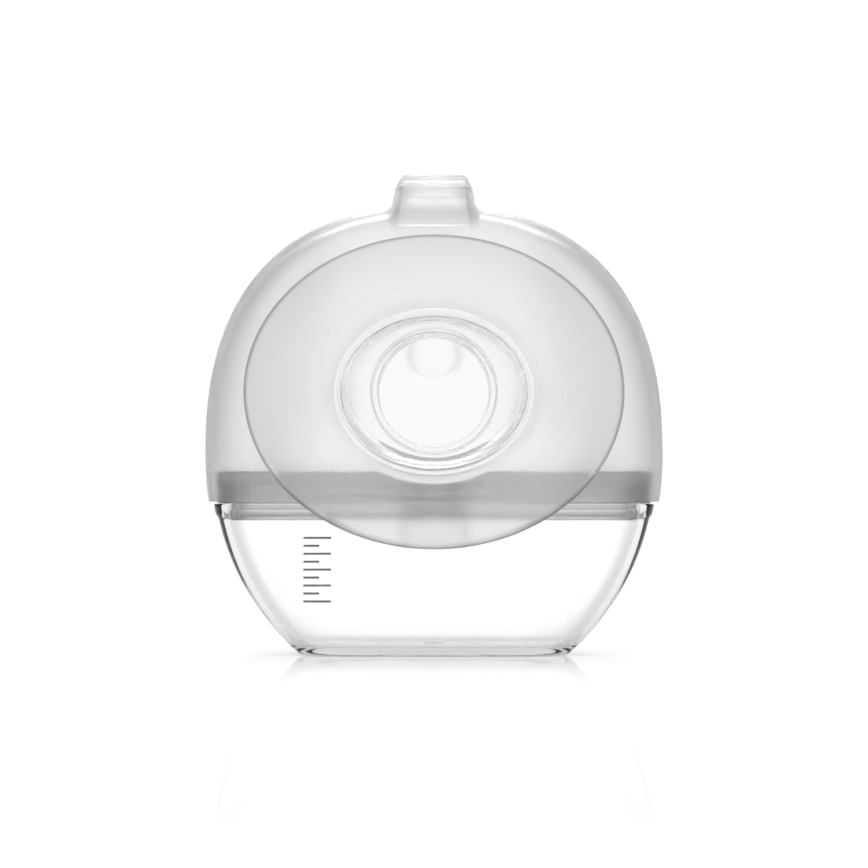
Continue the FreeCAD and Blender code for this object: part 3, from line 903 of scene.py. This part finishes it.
def paint_edge_shade(result, stops):
    """Paints shade into clear plastic's colour where its side walls face sideways and are seen edge on: a
    painted stand-in for the dark room that refraction shows along the walls.
    """
    tree = result.node_tree
    sideways = calculate(tree, "ABSOLUTE", coordinate(tree, "Normal", "X"))
    facing = tree.nodes.new("ShaderNodeLayerWeight").outputs["Facing"]
    colour_by(result, grey_ramp(tree, calculate(tree, "MULTIPLY", sideways, facing), stops))


def reach_from_axis(tree):
    """How far out a point of the shield lies, from 0 on its bell's axis to 1 at its rim."""
    half_height = (SHIELD_HIGH[2] - SHIELD_Z) * MM
    place = tree.nodes.new("ShaderNodeTexCoord")
    reach = tree.nodes.new("ShaderNodeMapping")
    reach.inputs["Scale"].default_value = (1 / (SHIELD_HIGH[0] * MM), 0, 1 / half_height)
    reach.inputs["Location"].default_value = (0, 0, -SHIELD_Z * MM / half_height)
    tree.links.new(place.outputs["Object"], reach.inputs["Vector"])
    length = tree.nodes.new("ShaderNodeVectorMath")
    length.operation = "LENGTH"
    tree.links.new(reach.outputs["Vector"], length.inputs[0])
    return length.outputs["Value"]


def paint_shield_shade_and_polish(result):
    """Paints shade into the shield's colour towards its rim and on the tunnel's walls where they are seen
    edge on, and polishes its neck.
    """
    tree = result.node_tree
    reach = reach_from_axis(tree)
    near_tunnel = calculate(tree, "LESS_THAN", reach, TUNNEL_REACH)
    facing = tree.nodes.new("ShaderNodeLayerWeight").outputs["Facing"]
    tunnel_edge_shade = calculate(tree, "MULTIPLY", near_tunnel, facing)
    both = tree.nodes.new("ShaderNodeVectorMath")
    both.operation = "MULTIPLY"
    # painted shade towards the rim, times painted shade on the edge-on tunnel walls
    tree.links.new(grey_ramp(tree, reach, SHIELD_RIM_SHADE), both.inputs[0])
    tree.links.new(grey_ramp(tree, tunnel_edge_shade, TUNNEL_EDGE_SHADE), both.inputs[1])
    colour_by(result, both.outputs["Vector"])
    roughness = tree.nodes["Principled BSDF"].inputs["Roughness"]
    polish = map_range(tree, reach, POLISHED_REACH, POLISH)
    tree.links.new(calculate(tree, "MULTIPLY", roughness.links[0].from_socket, polish), roughness)


# Stage -----------------------------------------------------------------------------------------


def floor():
    """A pale, slightly glossy floor."""
    size = FLOOR_SIZE
    corner_points = [(-size, -size, 0), (size, -size, 0), (size, size, 0), (-size, size, 0)]
    mesh = bpy.data.meshes.new("floor")
    mesh.from_pydata(corner_points, [], [(0, 1, 2, 3)])
    obj = bpy.data.objects.new("floor", mesh)
    bpy.context.scene.collection.objects.link(obj)
    paint = bpy.data.materials.new("floor_paint")
    paint.use_nodes = True
    shader = paint.node_tree.nodes["Principled BSDF"]
    shader.inputs["Base Color"].default_value = (0.7, 0.7, 0.7, 1)
    shader.inputs["Roughness"].default_value = 0.04
    shader.inputs["IOR"].default_value = 1.02
    shader.inputs["Emission Color"].default_value = (1, 1, 1, 1)
    shader.inputs["Emission Strength"].default_value = 0.28
    obj.data.materials.append(paint)


def room():
    """A white room, darker at the sides so that clear edges show, and white behind the pump."""
    world = bpy.data.worlds.new("studio")
    bpy.context.scene.world = world
    world.use_nodes = True
    tree = world.node_tree
    background = tree.nodes["Background"]
    background.inputs["Color"].default_value = (1, 1, 1, 1)
    aside = calculate(tree, "ABSOLUTE", coordinate(tree, "Generated", "X"))
    shade = map_range(tree, aside, (0.25, 0.6), (ROOM_WHITE, ROOM_SIDE_GREY), "SMOOTHSTEP")
    seen = tree.nodes.new("ShaderNodeLightPath").outputs["Is Camera Ray"]
    tree.links.new(calculate(tree, "MAXIMUM", shade, seen), background.inputs["Strength"])


def lamps():
    """Soft lights on both sides in front and one behind."""
    for x, y, z, power in LAMPS:
        lamp = bpy.data.lights.new("soft_light", "AREA")
        lamp.energy = power
        lamp.size = LAMP_SIZE
        obj = bpy.data.objects.new("soft_light", lamp)
        bpy.context.scene.collection.objects.link(obj)
        obj.location = (x, y, z)
        aim = np.array(LAMP_AIM) - np.array([x, y, z])
        tilt = math.atan2(math.hypot(aim[0], aim[1]), -aim[2])
        turn = math.atan2(aim[0], -aim[1]) + math.pi
        obj.rotation_euler = (tilt, 0, turn)


def light_paths():
    """Enough bounces for light to get through every clear wall."""
    scene = bpy.context.scene
    scene.view_settings.view_transform = "Standard"
    scene.cycles.use_denoising = True
    scene.cycles.transmission_bounces = 24
    scene.cycles.transparent_max_bounces = 24
    scene.cycles.max_bounces = 24
    scene.cycles.diffuse_bounces = 4
    scene.cycles.glossy_bounces = 6


def camera():
    """A long lens, level with the lid, on the wearer's side."""
    lens = bpy.data.cameras.new("camera")
    lens.sensor_width = SENSOR_WIDTH
    lens.lens = SENSOR_WIDTH * CAMERA_DISTANCE / WIDTH_SEEN
    lens.shift_y = CAMERA_SHIFT
    lens.clip_end = 10
    obj = bpy.data.objects.new("camera", lens)
    obj.location = (0, -CAMERA_DISTANCE * MM, CAMERA_Z * MM)
    obj.rotation_euler = (math.pi / 2, 0, 0)
    bpy.context.scene.collection.objects.link(obj)
    bpy.context.scene.camera = obj


def main():
    clear = material("clear_plastic", (0.985, 0.99, 0.99), 0.03, 1.0, ior=1.33, rough_spread=0.01)
    hidden = material("frame_plastic", (0.98, 0.985, 0.985), 0.12, 1.0, ior=1.18, rough_spread=0.03)
    frosted = material("frosted_plastic", (0.58, 0.59, 0.59), 0.22, 0.85, ior=1.49, bump=0.15)
    soft = material("dome_silicone", (1, 1, 1), 0.34, 0.94, ior=1.24, bump=0.2, bump_scale=900)
    cap_soft = material("cap_silicone", (1, 1, 1), 0.36, 0.97, ior=1.26, bump=0.2, bump_scale=900)
    satin = material("shield_silicone", (0.96, 0.96, 0.96), 0.26, 0.95, ior=1.26, bump=0.12, bump_scale=900)
    seal = material("seal_silicone", (1, 1, 1), 0.2, 1.0, ior=1.2, bump=0.15)
    ink = material("grey_ink", (0.42, 0.43, 0.44), 0.5, 0.0)
    fill_with_haze(clear, 30)
    # Painted shade in the cup's colour along its edge-on side walls
    paint_edge_shade(clear, CUP_EDGE_SHADE)
    grade_by_height(frosted, (LIP_Z - 0.5, LIP_Z + 1.5), (SPIGOT_GREY, LID_GREY))
    # Painted shade in the dome's colour along its left and right sides
    paint_side_shade(soft, DOME_SIDE_SHADE)
    # Painted shade in the shield's colour at its rim and tunnel walls
    paint_shield_shade_and_polish(satin)

    finish(milk_cup(), "container", ["milk_container"], clear)
    finish(volume_marks(), "container", [], ink)
    finish(lid_plate(), "head", ["container_lid"], frosted)
    finish(gasket(), "head", ["lid_gasket"], seal)
    finish(clamp_frame(), "head", ["shield_frame"], hidden)
    finish(duckbill(), "valve", ["duckbill_valve"], seal)
    finish(shield(), "shield", ["breast_shield"], satin)
    finish(spout_lid(), "cap", ["spout_cap"], cap_soft)
    finish(strap(), None, ["cap_strap"], cap_soft)
    skin = dome()
    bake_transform(skin)
    finish(skin, None, ["silicone_dome", "press_pad"], soft)
    floor()
    room()
    lamps()
    light_paths()
    camera()


main()
